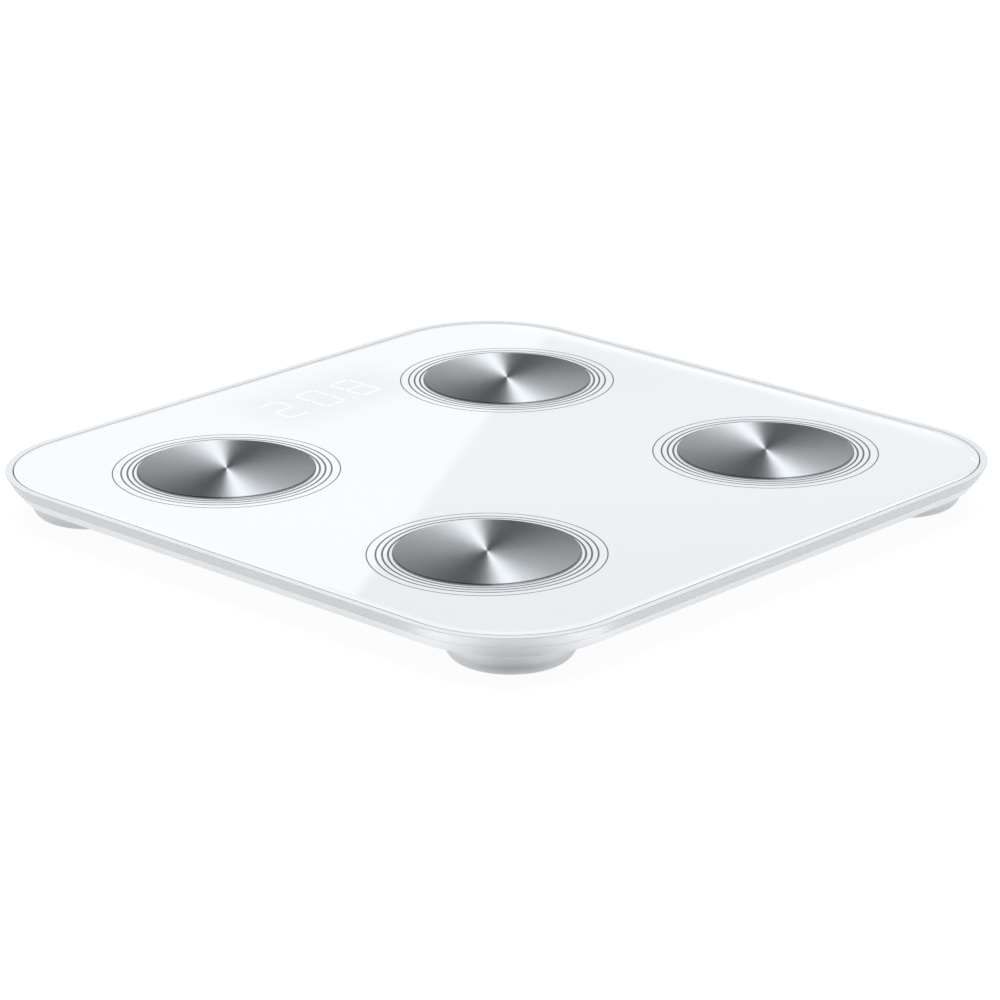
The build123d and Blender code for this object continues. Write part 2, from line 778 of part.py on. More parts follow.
def make_battery_leads():
    """The two leads from the ends of the row of cells."""
    rows = [y for y, _ in battery_places()]
    near_way = [
        (32.5, 5.0, battery_axis + 0.4),
        (28.0, 12.0, battery_axis + 1.0),
        (16.0, 16.0, connector_mid - 0.4),
        (4.0, 17.0, connector_mid),
    ]
    far_way = [
        (36.0, rows[0] + 7.0, battery_axis),
        (37.0, -6.0, battery_axis + 0.4),
        (34.5, 12.0, battery_axis + 0.8),
        (21.0, 20.5, connector_mid - 0.4),
        (8.0, 20.0, connector_mid - 0.2),
    ]
    return [
        battery_lead(rows[-1], -battery_lead_pitch / 2, near_way),
        battery_lead(rows[0], battery_lead_pitch / 2, far_way),
    ]


def make_display_lead():
    """Flat lead from the display board to the main board."""
    start_y = display_centre_y - display_half_y
    end_y = board_centre_y + board_width / 2
    start_z = (display_board_bottom + display_board_top) / 2
    gap = start_y - end_y
    points = [
        (0, start_y, start_z),
        (0, start_y - ribbon_straight_share * gap, start_z),
        (0, start_y - gap / 2, start_z + ribbon_rise),
        (0, end_y + ribbon_straight_share * gap, connector_mid),
        (0, end_y, connector_mid),
    ]
    path = FilletPolyline(*points, radius=ribbon_bend_radius)
    section = Plane(points[0], x_dir=(1, 0, 0), z_dir=(0, -1, 0))
    return sweep(section * Rectangle(ribbon_width, ribbon_thickness), path=path)


def make_main_board():
    """Main circuit board on its four bosses."""
    board = extrude(RectangleRounded(board_length, board_width, board_corner_radius), board_thickness)
    board = Pos(0, board_centre_y, board_bottom) * board
    for x, y in board_screw_places():
        board -= rod(board_screw_radius + thread_clearance, board_bottom, board_top, x, y)
    return board


def make_connectors():
    """Low connector blocks along the edges of the main board."""
    high = board_top + connector_height
    edge_x = board_length / 2 - connector_depth / 2
    edge_y = board_width / 2 - connector_depth / 2
    blocks = []
    for sx, sy in corners.values():
        y = cell_connector_y(sy)
        blocks.append(block(connector_depth, connector_length, board_top, high, sx * edge_x, y))
        x = sx * electrode_connector_x
        y = board_centre_y + sy * edge_y
        blocks.append(block(connector_depth, connector_depth, board_top, high, x, y))
    blocks.append(block(connector_length, connector_depth, board_top, high, 0, board_centre_y - edge_y))
    wide = ribbon_width + connector_depth / 2
    blocks.append(block(wide, connector_depth, board_top, high, 0, board_centre_y + edge_y))
    return blocks


def make_unit_button():
    """Round button in the floor of the pan, held by a flange inside."""
    low = pan_clearance + button_recess
    button = rod(button_radius, low, button_top, button_x, button_y)
    button = fillet(edges_at(button, low), button_edge_fillet)
    flange = rod(button_radius + button_flange_width, pan_floor, button_top, button_x, button_y)
    return button + flange


def make_tact_switch():
    """Small switch under the main board, above the unit button."""
    body_low = plunger_bottom + plunger_height
    body = block(switch_side, switch_side, body_low, board_bottom, button_x, button_y)
    return body + rod(plunger_radius, plunger_bottom, body_low, button_x, button_y)


def make_battery(y, way):
    """AAA cell with its positive nub pointing along way."""
    tip = bay_half_x - contact_thickness
    body_length = battery_length - battery_nub_length
    body = Cylinder(battery_diameter / 2, body_length)
    body = fillet(body.edges(), battery_rim_fillet)
    body = Pos(tip - battery_nub_length - body_length / 2, 0, 0) * (Rot(0, 90, 0) * body)
    nub = Rot(0, 90, 0) * Cylinder(battery_nub_radius, battery_nub_length)
    cell = body + Pos(tip - battery_nub_length / 2, 0, 0) * nub
    turn = 0 if way > 0 else 180
    return Pos(0, y, battery_axis) * (Rot(0, 0, turn) * cell)


def make_contact_spring(y, way):
    """Tightly pressed cone spring behind a cell's flat end."""
    end = bay_half_x - contact_thickness
    pitch = (spring_height - 2 * spring_wire_radius) / (spring_turns - 1)
    coil = None
    for i in range(spring_turns):
        share = i / (spring_turns - 1)
        radius = spring_base_radius + share * (spring_tip_radius - spring_base_radius)
        hoop = Rot(0, 90, 0) * Torus(radius, spring_wire_radius)
        hoop = Pos(-end + spring_wire_radius + i * pitch, 0, 0) * hoop
        coil = hoop if coil is None else coil + hoop
    turn = 0 if way > 0 else 180
    return Pos(0, y, battery_axis) * (Rot(0, 0, turn) * coil)


def make_contact_plates():
    """Flat contacts at both ends of the bay, two of them with a tab through the bay wall."""
    plates = []
    rows = [y for y, _ in battery_places()]
    tab_length = bay_wall + 2 * contact_thickness
    for side in (1, -1):
        x = side * (bay_half_x - contact_thickness / 2)
        low, high = battery_axis - contact_height / 2, battery_axis + contact_height / 2
        for y in rows:
            plate = block(contact_thickness, contact_side, low, high, x, y)
            if side > 0 and y in (rows[0], rows[-1]):
                tab_x = bay_half_x - contact_thickness + tab_length / 2
                tab_low, tab_high = battery_axis - lead_radius, battery_axis + lead_radius
                plate += block(tab_length, contact_side / 2, tab_low, tab_high, tab_x, y)
            plates.append(plate)
    return plates


def cut_contact_slots(shell):
    """Slots in the bay wall for the two contact tabs."""
    rows = [y for y, _ in battery_places()]
    for y in (rows[0], rows[-1]):
        low, high = battery_axis - 2 * lead_radius, battery_axis + 2 * lead_radius
        x = bay_half_x + bay_wall / 2
        shell -= block(bay_wall, contact_side / 2 + deck_hole_clearance, low, high, x, y)
    return shell


def digit_segments(x):
    """The seven straight slots of one digit."""
    length_x = digit_width - 2 * segment_width - segment_gap
    length_y = digit_height / 2 - 1.5 * segment_width - segment_gap
    column = (digit_width - segment_width) / 2
    row = (digit_height - segment_width) / 2
    slots = [(x, display_centre_y + k * row, length_x, segment_width) for k in (-1, 0, 1)]
    for side in (-1, 1):
        for k in (-1, 1):
            slots.append((x + side * column, display_centre_y + k * row / 2, segment_width, length_y))
    return slots


def make_reflector():
    """White block over the display's lamps, with an open slot for each segment of each digit."""
    size_x, size_y = 2 * display_half_x, 2 * display_half_y
    reflector = block(size_x, size_y, display_board_top, diffuser_bottom, 0, display_centre_y)
    first = -(digit_count - 1) * digit_pitch / 2
    for i in range(digit_count):
        for x, y, slot_x, slot_y in digit_segments(first + i * digit_pitch):
            reflector -= block(slot_x, slot_y, display_board_top, diffuser_bottom, x, y)
    return reflector


def make_display_board():
    """Board under the reflector, hung from two bosses of the deck."""
    size_x, size_y = 2 * display_board_half_x, 2 * display_half_y
    board = block(size_x, size_y, display_board_bottom, display_board_top, 0, display_centre_y)
    for x, y in display_screw_places():
        board -= rod(display_screw_radius + thread_clearance, display_board_bottom, display_board_top, x, y)
    return board


def make_screws(places, seat, radius, bite, head_radius, head_height, points_up):
    """A set of like screws that share one seat height."""
    return [screw(x, y, seat, radius, bite, head_radius, head_height, points_up) for x, y in places]


def save(name, shapes):
    """Write one node: a single solid, or a group of separate solids."""
    solids = shapes if isinstance(shapes, list) else [shapes]
    solids = [s for shape in solids for s in shape.solids()]
    shape = solids[0] if len(solids) == 1 else Compound(children=solids)
    shape.label = name
    export_step(shape, os.path.join("parts", name + ".step"))


def main():
    os.makedirs("parts", exist_ok=True)
    save("glass_platform", make_glass())
    save("glass_tape", make_glass_tape())
    save("top_frame", make_top_frame())
    save("base_shell", cut_contact_slots(make_base_shell()))
    tape_top = glass_top + electrode_tape_thickness
    tape_radius = electrode_radius - electrode_tape_margin
    places = list(electrode_places().values())
    for name, (x, y) in electrode_places().items():
        save("electrode_" + name, make_electrode(x, y))
    save("electrode_tape", [
        ring(tape_radius, stud_hole_radius, glass_top, tape_top, x, y) for x, y in places])
    save("electrode_washers", [
        ring(washer_radius, thread_hole, washer_bottom, deck_bottom, x, y) for x, y in places])
    save("electrode_lugs", [make_lug(sx, sy) for sx, sy in corners.values()])
    save("electrode_nuts", [make_nut(x, y) for x, y in places])
    save("electrode_leads", [electrode_lead(sx, sy) for sx, sy in corners.values()])
    for name, (x, y) in foot_places().items():
        save("foot_cap_" + name, make_foot_cap(x, y))
        save("foot_pad_" + name, make_foot_pad(x, y))
    for name, (sx, sy) in corners.items():
        save("load_cell_" + name, make_load_cell(sx, sy))
    save("strain_gauges", [make_gauge(sx, sy) for sx, sy in corners.values()])
    cell_screws = [p for sx, sy in corners.values() for p in cell_screw_places(sx, sy)]
    cell_bite = load_cell_thickness + cell_screw_bite
    save("load_cell_screws", make_screws(
        cell_screws, load_cell_bottom, cell_screw_radius, cell_bite,
        cell_screw_head_radius, cell_screw_head_height, True))
    save("load_cell_leads", [load_cell_lead(sx, sy) for sx, sy in corners.values()])
    save("main_board", make_main_board())
    chip_high = board_top + chip_height
    save("controller_chip", block(chip_side, chip_side, board_top, chip_high, chip_x, board_centre_y))
    radio_high = board_top + radio_height
    save("radio_module", block(radio_length, radio_width, board_top, radio_high, radio_x, board_centre_y))
    capacitor_high = board_top + capacitor_height
    save("board_capacitors", [
        rod(capacitor_radius, board_top, capacitor_high, x, board_centre_y + y)
        for x, y in capacitor_places])
    save("lead_connectors", make_connectors())
    save("unit_switch", make_tact_switch())
    save("unit_button", make_unit_button())
    board_bite = board_thickness + board_screw_bite
    save("board_screws", make_screws(
        board_screw_places(), board_top, board_screw_radius, board_bite,
        board_screw_head_radius, board_screw_head_height, False))
    display_x, display_y = 2 * display_half_x, 2 * display_half_y
    save("display_diffuser", block(
        display_x, display_y, diffuser_bottom, glass_bottom, 0, display_centre_y))
    save("display_reflector", make_reflector())
    save("display_board", make_display_board())
    display_bite = deck_bottom - display_board_bottom - screw_tip_clearance
    save("display_screws", make_screws(
        display_screw_places(), display_board_bottom, display_screw_radius, display_bite,
        display_screw_head_radius, display_screw_head_height, True))
    save("display_lead", make_display_lead())
    for i, (y, way) in enumerate(battery_places()):
        save("battery_" + str(i + 1), make_battery(y, way))
    save("battery_springs", [make_contact_spring(y, way) for y, way in battery_places()])
    save("battery_contacts", make_contact_plates())
    save("battery_leads", make_battery_leads())
    insulator_x = 2 * (bay_half_x + bay_wall)
    insulator_y = 2 * (bay_half_y + bay_wall)
    save("bay_insulator", block(insulator_x, insulator_y, bay_top, deck_top, 0, bay_centre_y))
    save("battery_door", make_battery_door())
    save("door_latch", make_door_latch())
    case_bite = screw_seat_thickness + case_screw_bite
    save("case_screws", make_screws(
        case_screw_places(), screw_head_seat, case_screw_radius, case_bite,
        case_screw_head_radius, case_screw_head_height, True))


main()
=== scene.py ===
import json
import math

import bmesh
import bpy
from mathutils import Matrix, Vector


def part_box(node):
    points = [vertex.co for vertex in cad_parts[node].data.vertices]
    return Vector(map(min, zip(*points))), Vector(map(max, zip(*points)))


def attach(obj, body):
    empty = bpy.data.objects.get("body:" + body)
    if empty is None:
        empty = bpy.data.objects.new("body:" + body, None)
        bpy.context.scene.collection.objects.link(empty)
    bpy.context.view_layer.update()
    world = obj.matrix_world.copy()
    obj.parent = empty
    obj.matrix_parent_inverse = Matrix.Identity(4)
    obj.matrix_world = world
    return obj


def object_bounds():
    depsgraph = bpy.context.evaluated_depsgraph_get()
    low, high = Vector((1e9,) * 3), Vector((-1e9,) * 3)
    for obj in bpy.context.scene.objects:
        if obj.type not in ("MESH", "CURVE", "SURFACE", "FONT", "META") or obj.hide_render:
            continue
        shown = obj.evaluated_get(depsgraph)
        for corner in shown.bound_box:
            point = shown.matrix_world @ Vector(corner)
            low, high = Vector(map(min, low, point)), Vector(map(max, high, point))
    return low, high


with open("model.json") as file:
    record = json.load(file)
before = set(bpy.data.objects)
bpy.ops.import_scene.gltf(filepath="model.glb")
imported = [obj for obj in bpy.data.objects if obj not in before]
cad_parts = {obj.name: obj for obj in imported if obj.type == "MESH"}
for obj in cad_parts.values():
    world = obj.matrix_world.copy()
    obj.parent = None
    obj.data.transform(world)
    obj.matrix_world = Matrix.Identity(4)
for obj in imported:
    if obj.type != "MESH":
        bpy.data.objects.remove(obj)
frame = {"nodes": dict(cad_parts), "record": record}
cad_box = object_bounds()
nodes = frame["nodes"]
scene = bpy.context.scene

# Lengths are in metres, and MM turns millimetres into metres
MM = 0.001

# Places taken from the frame
glass_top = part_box("glass_platform")[1].z
glass_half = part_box("glass_platform")[1].x
electrode_names = ["electrode_" + end + side for end in ("toe", "heel") for side in ("_left", "_right")]
display_low, display_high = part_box("display_diffuser")
display_centre = (display_low + display_high) / 2

# Printed rings, from the innermost one outwards
print_thickness = 0.02 * MM
ring_radii = [36.3 * MM, 38.5 * MM, 40.9 * MM, 44.3 * MM]
ring_widths = [0.84 * MM, 0.78 * MM, 0.68 * MM, 0.48 * MM]
ring_steps = 192

# Lit numerals, with their offsets from the middle of the glass
digit_texts = ["2", "0", "8"]
digit_offsets = [-11.5 * MM, 9.0 * MM, 29.3 * MM]
digit_width = 12.0 * MM
digit_height = 20.5 * MM
digit_stroke = 1.15 * MM
segment_gap = 0.5 * MM
point_offset = 19.4 * MM
point_radius = 0.7 * MM
point_steps = 24

# Plain lit bars beside the numerals: each one's offset, its rise over the display's middle and its length
mark_bars = [(3.1 * MM, 14.9 * MM, 3.4 * MM), (44.6 * MM, 9.5 * MM, 1.8 * MM)]
mark_height = 0.6 * MM

# The faint grey window that the display makes in the white print
patch_centre = Vector((14.0 * MM, display_centre.y))
patch_half = Vector((56.0 * MM, 37.0 * MM))
patch_fade = 33.0 * MM
patch_shade = 0.085

# The turned lines of a disc, counted over its width, and how much they darken the steel
turned_lines = 320.0
turned_shade = 0.05

# Painted shade round the top of a disc's wall, a darker steel colour where the wall is in shade: heights
# over the glass, radii as shares of the disc's width, and how much it darkens the steel
painted_rim_shade_start = 0.35 * MM
painted_rim_shade_full = 0.50 * MM
rim_radius_start = 0.4962
rim_radius_full = 0.4975
painted_rim_shade_depth = 0.70

# Where the pale band of a battery's jacket starts, as shares of the battery's length
jacket_band_start = 0.70
jacket_band_full = 0.705

# Camera of the photograph
camera_place = Vector((-1.07479, -1.01606, 0.51920))
camera_azimuth = math.radians(-46.642)
camera_elevation = math.radians(19.214)
camera_roll = math.radians(-0.248)
sensor_width = 36.0
camera_lens = 143.543

# Studio, where a dome's skirt is the share of its radius that it reaches below its middle
floor_half = 40.0
dome_radius = 30.0
dome_spacing = 1.0
dome_rings = 48
dome_skirt = 0.01
lamp_side = 2.4
lamp_height = 2.0
lamp_power = 57.0
ambient_level = 0.20

# The white table: how it lights the scale, from the open and from under the scale, and how it looks itself
floor_glow = 1.02
floor_glow_under = 0.50
floor_under_fade = 12.0 * MM
floor_seen_bounce = 0.10
floor_seen_glow = 0.92

# The table's light about the nearest corner, inside a ring about the corner's own centre: level against
# angle in degrees from the corner's middle, first as it lights the scale and then as the plastic mirrors it
corner_radius = 48.5 * MM
corner_fade = 18.0 * MM
corner_levels = [(0, 0.08), (13, 0.10), (25, 0.85), (31, 1.0), (180, 1.0)]
corner_inner = 40.5 * MM
corner_inner_fade = 4.0 * MM
corner_outer = 58.0 * MM
corner_mirror_levels = [(0, 5.3), (10, 5.4), (26, 6.8), (44, 5.9), (54, 4.2), (68, 1.0), (180, 1.0)]
corner_mirror_inner = corner_radius - 2.0 * MM
corner_mirror_inner_fade = 3.0 * MM
corner_mirror_outer = 75.0 * MM

# Sky that the glass and the plastic mirror. Low down it is bright on one side of a straight edge, which is
# placed by where it shows on the glass, and dim on the other side, dimmer with height
edge_on_glass = [Vector((138.2 * MM, 100.4 * MM)), Vector((-138.4 * MM, -62.8 * MM))]
edge_blur = 0.0012
low_sky_bright = 0.92
low_sky_dim = 0.51
low_sky_dimmest = 0.22
dim_sky_start = math.radians(18.4)
dim_sky_full = math.radians(21.2)

# A bright band of that sky, which shows along the far right edge of the glass. It keeps to the part of the
# sky behind the scale, given as cosines of the angle from straight behind
band_inset = 4.6 * MM
band_outset = 4.0 * MM
band_level = 1.85
band_view_start = 0.91
band_view_full = 0.935

# Higher up the sky is bright again, less so straight behind the scale, within sines of the angle to the side
high_sky_bright = 1.25
high_sky_middle = 0.60
high_sky_start = math.radians(20.9)
high_sky_full = math.radians(23.4)
middle_sky_half = 0.04
middle_sky_fade = 0.08

# The sky fades towards the horizon, and goes out towards the top
horizon_share = 0.2
horizon_full = math.radians(12.5)
horizon_start = math.radians(16.2)
top_sky_start = math.radians(33.0)
top_sky_full = math.radians(42.0)

# Sky that the turned steel mirrors: level against angle in degrees about the sky point that a disc's middle
# shows, counted from one direction that is the same for all the discs
wheel_azimuth = math.radians(39.4)
wheel_levels = [(0, 0.04), (4, 0.05), (14.5, 2.12), (19, 1.88), (31, 1.05), (50, 0.64), (88, 0.42),
                (130, 0.27), (155, 0.12), (168, 0.05), (180, 0.04)]


# Node trees

class Nodes:
    """Short ways to add nodes to one node tree."""

    def __init__(self, tree):
        self.tree = tree

    def feed(self, target, source):
        """Links a node's output to a socket, or sets the socket to a plain value."""
        if isinstance(source, bpy.types.NodeSocket):
            self.tree.links.new(source, target)
        else:
            target.default_value = source

    def node(self, kind, *sources, **settings):
        """Adds a node with those settings, and feeds its first sockets in order."""
        made = self.tree.nodes.new(kind)
        for name, value in settings.items():
            setattr(made, name, value)
        for socket, source in zip(made.inputs, sources):
            self.feed(socket, source)
        return made

    def math(self, operation, *values):
        return self.node("ShaderNodeMath", *values, operation=operation).outputs[0]

    def vector(self, operation, *values):
        return self.node("ShaderNodeVectorMath", *values, operation=operation).outputs["Vector"]

    def dot(self, place, direction):
        return self.node("ShaderNodeVectorMath", place, direction, operation="DOT_PRODUCT").outputs["Value"]

    def length(self, first, second):
        """The length of a step that goes so far along two directions at right angles."""
        squares = [self.math("POWER", way, 2.0) for way in (first, second)]
        return self.math("SQRT", self.math("ADD", *squares))

    def span(self, value, low, high, to_low=0.0, to_high=1.0, course="LINEAR"):
        """Carries a value over from one range to another, and stops at both ends."""
        made = self.node("ShaderNodeMapRange", interpolation_type=course)
        for name, number in zip(("Value", "From Min", "From Max", "To Min", "To Max"),
                                (value, low, high, to_low, to_high)):
            self.feed(made.inputs[name], number)
        return made.outputs["Result"]

    def ease(self, value, low, high, to_low=0.0, to_high=1.0):
        """As span does, with a soft start and a soft end."""
        return self.span(value, low, high, to_low, to_high, "SMOOTHSTEP")

    def choose(self, share, first, second):
        """The first level where the share is zero, and the second where it is one."""
        return self.math("ADD", first, self.math("MULTIPLY", share, self.math("SUBTRACT", second, first)))

    def seen_by_eye(self):
        """One where a ray comes from the camera, a mirror or a clear body, and zero elsewhere."""
        path = self.node("ShaderNodeLightPath").outputs
        direct = self.math("MAXIMUM", path["Is Camera Ray"], path["Is Glossy Ray"])
        return self.math("MAXIMUM", direct, path["Is Transmission Ray"])


# Materials of the scale

class Finish(Nodes):
    """A node material built up round one Principled shader."""

    noise_range = (0.3, 0.7)

    def __init__(self, name, colour, roughness, metallic=0.0):
        self.name = name
        self.material = bpy.data.materials.new(name)
        self.material.use_nodes = True
        super().__init__(self.material.node_tree)
        self.shader = self.tree.nodes["Principled BSDF"]
        self.colour = colour
        self.set("Base Color", (*colour, 1.0))
        self.set("Roughness", roughness)
        self.set("Metallic", metallic)
        self.place = self.node("ShaderNodeTexCoord").outputs["Object"]

    def set(self, socket, source):
        self.feed(self.shader.inputs[socket], source)

    def in_box(self):
        """The place within the piece's own box, from zero to one."""
        return self.node("ShaderNodeTexCoord").outputs["Generated"]

    def mix(self, share, first, second):
        made = self.node("ShaderNodeMix", data_type="RGBA")
        self.feed(made.inputs["Factor"], share)
        for name, colour in (("A", first), ("B", second)):
            socket = next(s for s in made.inputs if s.name == name and s.type == "RGBA")
            self.feed(socket, (*colour, 1.0))
        return next(s for s in made.outputs if s.type == "RGBA")

    def noise(self, size, detail=3.0, stretch=None):
        """Noise with features about that many metres across."""
        place = self.place
        if stretch:
            mapping = self.node("ShaderNodeMapping", self.place)
            self.feed(mapping.inputs["Scale"], stretch)
            place = mapping.outputs["Vector"]
        made = self.node("ShaderNodeTexNoise", place)
        self.feed(made.inputs["Scale"], 1.0 / size)
        self.feed(made.inputs["Detail"], detail)
        return made.outputs["Fac"]

    def tint(self, share, colour):
        """Turns the colour into another one where the share is high."""
        self.set("Base Color", self.mix(share, self.colour, colour))

    def shade(self, share, amount):
        """Makes the colour darker by up to that amount where the share is high."""
        self.tint(share, tuple(c * (1.0 - amount) for c in self.colour))

    def rough(self, noise, low, high):
        """Lets the roughness drift with a noise."""
        self.set("Roughness", self.span(noise, *self.noise_range, low, high))

    def bump(self, height, depth, strength=1.0):
        made = self.node("ShaderNodeBump")
        self.feed(made.inputs["Strength"], strength)
        self.feed(made.inputs["Distance"], depth)
        self.feed(made.inputs["Height"], height)
        self.set("Normal", made.outputs["Normal"])


def moulded_plastic(name, colour, roughness, grain=None, depth=0.0):
    """Moulded plastic: slight clouding, a roughness that drifts and, where it isn't smooth, a grain."""
    made = Finish(name, colour, roughness)
    made.shade(made.span(made.noise(40 * MM, 2.0), 0.35, 0.75), 0.02)
    made.rough(made.noise(9 * MM, 4.0), roughness - 0.04, roughness + 0.05)
    if grain:
        made.bump(made.noise(grain, 4.0), depth)
    return made


def plated_metal(name, colour, roughness, grain, stretch=(1.0, 1.0, 1.0)):
    """Plated or drawn metal: fine streaks along one direction and small stains."""
    made = Finish(name, colour, roughness, 1.0)
    made.shade(made.span(made.noise(4 * MM, 4.0), 0.45, 0.75), 0.10)
    made.rough(made.noise(grain, 4.0, stretch), roughness - 0.06, roughness + 0.10)
    made.bump(made.noise(grain, 3.0, stretch), 0.01 * MM, 0.6)
    return made


def soft_polymer(name, colour, roughness, grain, depth, cloud):
    """Rubber, film, tape or insulation: matte, faintly clouded, with a fine skin."""
    made = Finish(name, colour, roughness)
    made.shade(made.span(made.noise(cloud, 3.0), *made.noise_range), 0.08)
    made.rough(made.noise(3 * MM, 3.0), roughness - 0.05, roughness + 0.05)
    made.bump(made.noise(grain, 5.0), depth)
    return made


def printed_glass(name):
    """White back-printed glass, polished, with a faint grey window over the display."""
    made = Finish(name, (0.800, 0.827, 0.850), 0.03)
    made.set("IOR", 1.52)
    ways = made.node("ShaderNodeSeparateXYZ", made.place).outputs
    fades = []
    for way, centre, half in zip(ways, patch_centre, patch_half):
        away = made.math("ABSOLUTE", made.math("SUBTRACT", way, centre))
        fades.append(made.ease(away, half - patch_fade, half, 1.0, 0.0))
    made.shade(made.math("MULTIPLY", *fades), patch_shade)
    made.rough(made.noise(25 * MM, 5.0), 0.015, 0.035)
    return made


def turned_steel(name):
    """Stainless steel turned in fine circles, so that its shine fans out from the centre; painted shade
    darkens the top of its wall.
    """
    made = Finish(name, (0.69, 0.73, 0.765), 0.38, 1.0)
    made.set("Anisotropic", 1.0)
    made.set("Anisotropic Rotation", 0.25)
    made.set("Tangent", made.node("ShaderNodeTangent", direction_type="RADIAL", axis="Z").outputs[0])
    off_middle = made.vector("SUBTRACT", made.in_box(), (0.5, 0.5, 0.5))
    ways = made.node("ShaderNodeSeparateXYZ", off_middle).outputs
    radius = made.length(ways["X"], ways["Y"])
    noise = made.node("ShaderNodeTexNoise", noise_dimensions="1D")
    for socket, source in (("W", radius), ("Scale", turned_lines), ("Detail", 3.0)):
        made.feed(noise.inputs[socket], source)
    lines = noise.outputs["Fac"]
    worn = made.math("MULTIPLY", made.span(lines, *made.noise_range), turned_shade)
    # Painted shade: the top of the disc's wall is coloured darker, standing in for the shade that falls
    # there
    on_wall = made.span(radius, rim_radius_start, rim_radius_full)
    height = made.node("ShaderNodeSeparateXYZ", made.place).outputs["Z"]
    upper = made.span(height, glass_top + painted_rim_shade_start, glass_top + painted_rim_shade_full)
    painted_rim_shade = made.math("MULTIPLY", made.math("MULTIPLY", on_wall, upper), painted_rim_shade_depth)
    made.shade(made.math("MAXIMUM", worn, painted_rim_shade), 1.0)
    made.rough(lines, 0.35, 0.40)
    return made


def circuit_board(name):
    """Green solder mask over copper tracks."""
    made = Finish(name, (0.04, 0.22, 0.10), 0.3)
    tracks = made.node("ShaderNodeTexBrick", made.place)
    for socket, value in (("Scale", 1.0), ("Brick Width", 9 * MM), ("Row Height", 1.6 * MM),
                          ("Mortar Size", 0.18 * MM)):
        made.feed(tracks.inputs[socket], value)
    made.tint(tracks.outputs["Fac"], (0.07, 0.33, 0.15))
    made.rough(made.noise(2 * MM, 3.0), 0.30, 0.40)
    made.bump(tracks.outputs["Fac"], 0.03 * MM)
    return made


def battery_jacket(name):
    """Plain dark jacket with one pale band at the end that carries the nub."""
    made = Finish(name, (0.16, 0.17, 0.19), 0.32, 0.5)
    along = made.node("ShaderNodeSeparateXYZ", made.in_box()).outputs["X"]
    made.tint(made.span(along, jacket_band_start, jacket_band_full), (0.62, 0.55, 0.40))
    made.rough(made.noise(3 * MM, 4.0), 0.30, 0.42)
    made.bump(made.noise(0.6 * MM, 3.0), 0.008 * MM)
    return made


def ring_ink(name):
    """Dark grey ink, slightly uneven."""
    made = Finish(name, (0.13, 0.135, 0.14), 0.30)
    made.shade(made.noise(1.5 * MM, 3.0), 0.15)
    made.rough(made.noise(4 * MM, 3.0), 0.30, 0.42)
    return made


def lit_white(name):
    """White print with a faint light of its own behind it."""
    made = Finish(name, (0.85, 0.86, 0.87), 0.10)
    made.set("Emission Color", (0.96, 0.98, 1.0, 1.0))
    made.set("Emission Strength", made.span(made.noise(1.2 * MM, 2.0), *made.noise_range, 0.04, 0.07))
    made.rough(made.noise(6 * MM, 3.0), 0.08, 0.14)
    return made


finish_list = [
    printed_glass("white_glass"),
    moulded_plastic("frame_plastic", (0.725, 0.752, 0.775), 0.33),
    moulded_plastic("base_plastic", (0.905, 0.93, 0.955), 0.50, 0.5 * MM, 0.004 * MM),
    moulded_plastic("foot_plastic", (0.885, 0.912, 0.935), 0.42, 0.5 * MM, 0.003 * MM),
    soft_polymer("foot_rubber", (0.42, 0.43, 0.44), 0.75, 0.4 * MM, 0.04 * MM, 6 * MM),
    turned_steel("brushed_steel"),
    plated_metal("cell_steel", (0.55, 0.56, 0.57), 0.38, 0.5 * MM, (1.0, 0.1, 1.0)),
    plated_metal("zinc_steel", (0.62, 0.63, 0.64), 0.36, 0.4 * MM),
    plated_metal("tinned_metal", (0.74, 0.74, 0.73), 0.36, 0.4 * MM),
    plated_metal("contact_metal", (0.78, 0.77, 0.74), 0.35, 0.4 * MM, (1.0, 1.0, 0.15)),
    plated_metal("capacitor_metal", (0.72, 0.72, 0.73), 0.35, 0.3 * MM, (1.0, 1.0, 0.1)),
    soft_polymer("tape", (0.85, 0.85, 0.84), 0.80, 0.5 * MM, 0.03 * MM, 4 * MM),
    soft_polymer("fibre", (0.45, 0.22, 0.14), 0.70, 0.3 * MM, 0.02 * MM, 2 * MM),
    soft_polymer("sealant", (0.80, 0.80, 0.78), 0.35, 1.2 * MM, 0.06 * MM, 3 * MM),
    circuit_board("circuit_board"),
    soft_polymer("chip_black", (0.03, 0.03, 0.032), 0.55, 0.2 * MM, 0.01 * MM, 2 * MM),
    moulded_plastic("connector_plastic", (0.83, 0.81, 0.74), 0.45, 0.3 * MM, 0.01 * MM),
    moulded_plastic("button_plastic", (0.62, 0.63, 0.64), 0.40, 0.3 * MM, 0.01 * MM),
    soft_polymer("diffuser", (0.88, 0.88, 0.87), 0.50, 0.3 * MM, 0.01 * MM, 8 * MM),
    moulded_plastic("reflector_plastic", (0.92, 0.92, 0.91), 0.35, 0.4 * MM, 0.01 * MM),
    battery_jacket("battery_jacket"),
    soft_polymer("insulator", (0.80, 0.82, 0.84), 0.36, 0.8 * MM, 0.01 * MM, 8 * MM),
    soft_polymer("lead_white", (0.86, 0.86, 0.85), 0.45, 0.4 * MM, 0.01 * MM, 5 * MM),
    soft_polymer("lead_grey", (0.55, 0.56, 0.57), 0.45, 0.4 * MM, 0.01 * MM, 5 * MM),
    soft_polymer("lead_red", (0.62, 0.05, 0.04), 0.45, 0.4 * MM, 0.01 * MM, 5 * MM),
]
finishes = {made.name: made for made in finish_list}

for row in frame["record"]["subparts"]:
    mesh = nodes[row["node"]].data
    mesh.materials.clear()
    mesh.materials.append(finishes[row["material_slot"]].material)


# Pieces printed on the glass or lit through it

